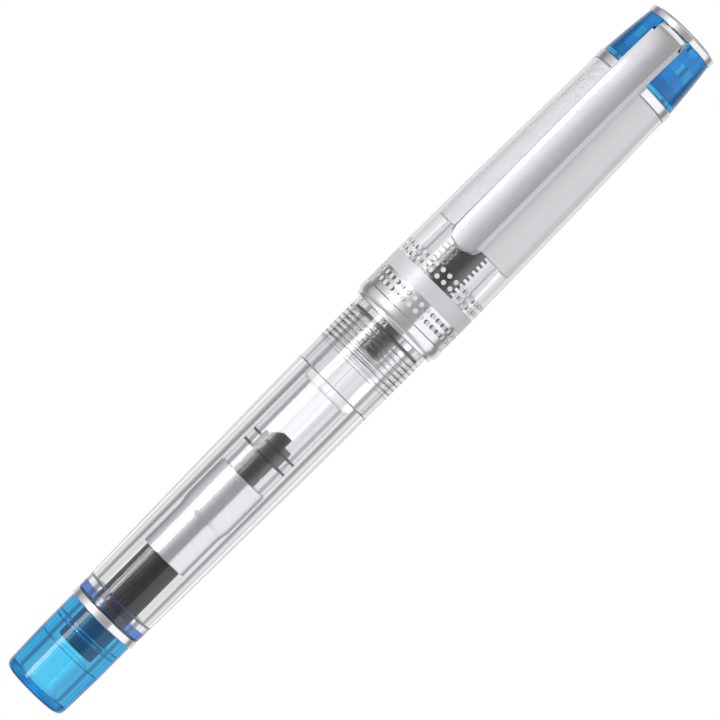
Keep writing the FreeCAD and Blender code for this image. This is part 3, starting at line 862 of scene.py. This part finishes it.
# ----------------------------------------------------------------------------------- clip
def clip_spine():
    """The clip's middle line as (reach, level), tip first, smooth through a few knots."""
    size = sizes["clip"]
    reach = size.reach - 0.015  # keeps the domed face inside the clip's own depth
    tip = size.low
    top = size.high
    knots = [
        (reach - 0.42, tip), (reach - 0.2, tip + 4), (reach - 0.04, tip + 14),
        (reach, tip + 24), (reach - 0.25, tip + 30), (reach - 0.85, tip + 35),
        (reach - 1.4, top - 1.3), (reach - 1.65, top - 0.8), (reach - 2.05, top - 0.38),
        (reach - 2.6, top - 0.1), (reach - 3.3, top - 0.03), (1.8, top - 0.03),
    ]
    points = []
    for number in range(len(knots) - 1):
        before = Vector(knots[max(number - 1, 0)])
        one = Vector(knots[number])
        two = Vector(knots[number + 1])
        after = Vector(knots[min(number + 2, len(knots) - 1)])
        steps = 10
        for step in range(steps):
            part = step / steps
            bend = (two - before) * part + (before * 2 - one * 5 + two * 4 - after) * part ** 2
            bend += (one * 3 - before - two * 3 + after) * part ** 3
            points.append(one + bend / 2)
    points.append(Vector(knots[-1]))
    return points


def make_clip():
    """A domed steel channel with leaning side walls and a round tip."""
    half_face = 1.97
    lean = 0.48
    wall = 0.95
    skin = 0.4
    dome = 0.16
    extra_dome = 0.1  # added to the dome towards the root
    extra_start = 28  # how far from the tip it begins
    extra_length = 8
    bend_reach = 5.5  # nearer the axis than this the channel is a flat tab
    bend_length = 0.7
    spine = clip_spine()
    tip = spine[0].y
    bm = bmesh.new()
    loops = []
    for number, point in enumerate(spine):
        ahead = spine[min(number + 1, len(spine) - 1)] - spine[max(number - 1, 0)]
        along = ahead.normalized()
        normal = Vector((along.y, -along.x))
        from_tip = point.y - tip
        height = max(0.0, min(1.0, from_tip / half_face))
        narrow = math.sqrt(max(0.0, 1 - (1 - height) ** 2))
        channel = max(0.0, min(1.0, (point.x - bend_reach) / bend_length))
        half = max(0.04, half_face * narrow * (1.07 - 0.07 * channel))
        depth = wall * min(1.0, 0.35 + from_tip) * channel + skin * (1 - channel)
        outline = []
        inner = []
        steps = 12
        growth = max(0.0, min(1.0, (from_tip - extra_start) / extra_length))
        swell = dome + extra_dome * growth
        foot = half + lean * min(1.0, depth / wall)
        outline.append((-foot, -depth))
        inner.append((-max(foot - skin, foot * 0.3), -depth))
        for step in range(steps + 1):
            across = -half + 2 * half * step / steps
            crown = swell * (1 - (across / half) ** 2) * min(1.0, half / half_face)
            crown *= 0.2 + 0.8 * channel
            outline.append((across, crown))
            shrink = max(1 - skin / half, 0.3)
            inner.append((across * shrink, crown - skin * min(1.0, 0.3 + half / half_face)))
        outline.append((foot, -depth))
        inner.append((max(foot - skin, foot * 0.3), -depth))
        loop = []
        for across, out in outline + inner[::-1]:
            reach = point.x - swell + normal.x * out
            level = point.y + normal.y * out
            loop.append(bm.verts.new((across, -reach, level)))
        loops.append(loop)
    count = len(loops[0])
    for one, two in zip(loops, loops[1:]):
        for corner in range(count):
            following = (corner + 1) % count
            bm.faces.new((one[corner], one[following], two[following], two[corner]))
    for loop in (loops[0], loops[-1]):
        half_count = count // 2
        for corner in range(half_count - 1):
            bm.faces.new((
                loop[corner], loop[corner + 1],
                loop[count - 2 - corner], loop[count - 1 - corner],
            ))
    new_piece("clip_look", bm, "clip", CHROME, ("clip",))


# ------------------------------------------------------------------------- studio and view
VIEW_AZIMUTH = math.radians(10)
VIEW_ROLL = math.radians(45.2)
VIEW_DISTANCE = 0.62  # in metres, as the rest of the studio
VIEW_WIDTH = 0.0933  # what the picture spans at that distance
VIEW_OFFSET = (0.000027, 0.000038)  # to the picture's right and up


def make_camera():
    """Looks square at the pen, rolled so that the pen lies along the picture's diagonal."""
    middle = (cad_low.z + cad_high.z) / 2
    towards = Vector((math.sin(VIEW_AZIMUTH), -math.cos(VIEW_AZIMUTH), 0))
    across = Vector((math.cos(VIEW_AZIMUTH), math.sin(VIEW_AZIMUTH), 0))
    upright = Vector((0, 0, 1))
    right = upright * math.cos(VIEW_ROLL) + across * math.sin(VIEW_ROLL)
    up = upright * math.sin(VIEW_ROLL) - across * math.cos(VIEW_ROLL)
    data = bpy.data.cameras.new("camera")
    data.sensor_width = 36
    data.lens = data.sensor_width * VIEW_DISTANCE / VIEW_WIDTH
    data.clip_start = 0.01
    data.clip_end = 100
    camera = bpy.data.objects.new("camera", data)
    bpy.context.scene.collection.objects.link(camera)
    turn = Matrix((right, up, towards)).transposed().to_4x4()
    place = towards * VIEW_DISTANCE + upright * middle
    place += right * VIEW_OFFSET[0] + up * VIEW_OFFSET[1]
    camera.matrix_world = Matrix.Translation(place) @ turn
    bpy.context.scene.camera = camera


BACKDROP_RADIUS = 30
FLOOR_GAP = 0.0001


def make_backdrop():
    """A white floor and the white room over it, one closed shell that only the camera sees."""
    material, _, shader = new_material("white_backdrop")
    shader.inputs["Base Color"].default_value = (0, 0, 0, 1)
    shader.inputs["Specular IOR Level"].default_value = 0
    shader.inputs["Emission Color"].default_value = (1, 1, 1, 1)
    shader.inputs["Emission Strength"].default_value = 1.0
    bm = bmesh.new()
    bmesh.ops.create_uvsphere(bm, u_segments=64, v_segments=32, radius=BACKDROP_RADIUS)
    floor = cad_low.z - FLOOR_GAP
    for vert in bm.verts:
        vert.co.z = max(vert.co.z, floor)
    mesh = bpy.data.meshes.new("backdrop")
    bm.to_mesh(mesh)
    bm.free()
    mesh.materials.append(material)
    backdrop = bpy.data.objects.new("backdrop", mesh)
    backdrop.visible_diffuse = False
    backdrop.visible_glossy = False
    backdrop.visible_transmission = False
    backdrop.visible_shadow = False
    bpy.context.scene.collection.objects.link(backdrop)


def sideways(degrees):
    """A level direction, counted from the camera's side of the pen to the viewer's right."""
    angle = VIEW_AZIMUTH + math.radians(degrees)
    return Vector((math.sin(angle), -math.cos(angle), 0))


SOFTBOX_WIDTH = 0.29
SOFTBOX_HEIGHT = 0.7
SOFTBOX_SIDE = -44  # degrees from the camera's side
SOFTBOX_DISTANCE = 1.2
SOFTBOX_LEVEL = 0.06
SOFTBOX_BRIGHTNESS = 6.5


def make_softbox():
    """A tall softbox at the left, whose reflection is the long streak down the pen."""
    data = bpy.data.lights.new("softbox", "AREA")
    data.shape = "RECTANGLE"
    data.size = SOFTBOX_WIDTH
    data.size_y = SOFTBOX_HEIGHT
    data.energy = SOFTBOX_BRIGHTNESS * math.pi * data.size * data.size_y
    light = bpy.data.objects.new("softbox", data)
    towards = sideways(SOFTBOX_SIDE)
    light.location = towards * SOFTBOX_DISTANCE + Vector((0, 0, SOFTBOX_LEVEL))
    light.rotation_mode = "QUATERNION"
    light.rotation_quaternion = towards.to_track_quat("Z", "Y")
    light.visible_camera = False
    bpy.context.scene.collection.objects.link(light)


# The level surroundings: (degrees from the camera's side, brightness)
SURROUNDINGS = (
    (-180, 1.25), (-177, 1.2), (-172, 0.92), (-163, 0.72), (-153, 0.82), (-143, 0.78),
    (-134, 0.42), (-125, 0.28), (-115, 0.25), (-100, 0.50), (-83, 0.66), (-71, 0.85),
    (-58, 1.1), (-40, 1.0), (-27, 0.88), (-17, 0.6), (-5, 0.44), (5, 0.40),
    (27, 0.40), (31, 1.04), (90, 1.04), (103, 0.9), (110, 0.45), (116, 0.28),
    (126, 0.28), (134, 0.5), (143, 0.80), (153, 0.82), (163, 0.68), (172, 0.90),
    (177, 1.2), (180, 1.25),
)
# What is above and below them: (the rise where it begins, the rise where it is all there is,
# brightness). A rise is the sine of the slope, first at a slant and then straight up or down.
ABOVE_AND_BELOW = ((0.3, 0.5, 0.4), (0.82, 0.95, 1.0))
WORLD_STRENGTH = 1.4  # the brightness of a full white in the colours, which can't go past 1


def make_surroundings():
    """Pale walls with dark gaps between them, dim at a slant and pale straight up and down."""
    world = bpy.data.worlds.new("studio")
    bpy.context.scene.world = world
    world.use_nodes = True
    tree = world.node_tree
    nodes = tree.nodes
    links = tree.links
    place = nodes.new("ShaderNodeTexCoord")
    parts = []
    for direction in (sideways(90), sideways(0), Vector((0, 0, 1))):
        dot = nodes.new("ShaderNodeVectorMath")
        dot.operation = "DOT_PRODUCT"
        dot.inputs[1].default_value = direction
        links.new(place.outputs["Generated"], dot.inputs[0])
        parts.append(dot.outputs["Value"])
    angle = nodes.new("ShaderNodeMath")
    angle.operation = "ARCTAN2"
    links.new(parts[0], angle.inputs[0])
    links.new(parts[1], angle.inputs[1])
    share = nodes.new("ShaderNodeMapRange")
    share.inputs["From Min"].default_value = -math.pi
    share.inputs["From Max"].default_value = math.pi
    links.new(angle.outputs["Value"], share.inputs["Value"])
    ramp = nodes.new("ShaderNodeValToRGB")
    links.new(share.outputs["Result"], ramp.inputs["Fac"])
    stops = ramp.color_ramp.elements
    for number, (degrees, brightness) in enumerate(SURROUNDINGS):
        position = (degrees + 180) / 360
        if number == 0:
            stop = stops[0]
        elif number == len(SURROUNDINGS) - 1:
            stop = stops[-1]
        else:
            stop = stops.new(position)
        stop.position = position
        grey = brightness / WORLD_STRENGTH
        stop.color = (grey, grey, min(1, grey * 1.02), 1)
    colour = ramp.outputs["Color"]
    height = nodes.new("ShaderNodeMath")
    height.operation = "ABSOLUTE"
    links.new(parts[2], height.inputs[0])
    for low, high, brightness in ABOVE_AND_BELOW:
        lift = nodes.new("ShaderNodeMapRange")
        lift.inputs["From Min"].default_value = low
        lift.inputs["From Max"].default_value = high
        links.new(height.outputs["Value"], lift.inputs["Value"])
        blend = nodes.new("ShaderNodeMix")
        blend.data_type = "RGBA"
        links.new(lift.outputs["Result"], blend.inputs["Factor"])
        colours = [socket for socket in blend.inputs if socket.type == "RGBA"]
        links.new(colour, colours[0])
        grey = brightness / WORLD_STRENGTH
        colours[1].default_value = (grey, grey, grey, 1)
        colour = next(socket for socket in blend.outputs if socket.type == "RGBA")
    links.new(colour, nodes["Background"].inputs["Color"])
    nodes["Background"].inputs["Strength"].default_value = WORLD_STRENGTH


make_camera()
make_backdrop()
make_softbox()
make_surroundings()
for make in (
    make_tail_cap, make_tail_ring, make_barrel_tube, make_sealing_washer, make_grip_section,
    make_feed, make_nib, make_converter_tube, make_converter_sleeve, make_spindle_guide,
    make_converter_knob, make_piston, make_cap_lip_ring, make_cap_shell, make_cap_band,
    make_band_dots, make_inner_cap, make_cap_ring, make_crown, make_finial, make_clip,
):
    make()
bpy.context.scene.view_settings.view_transform = "Standard"
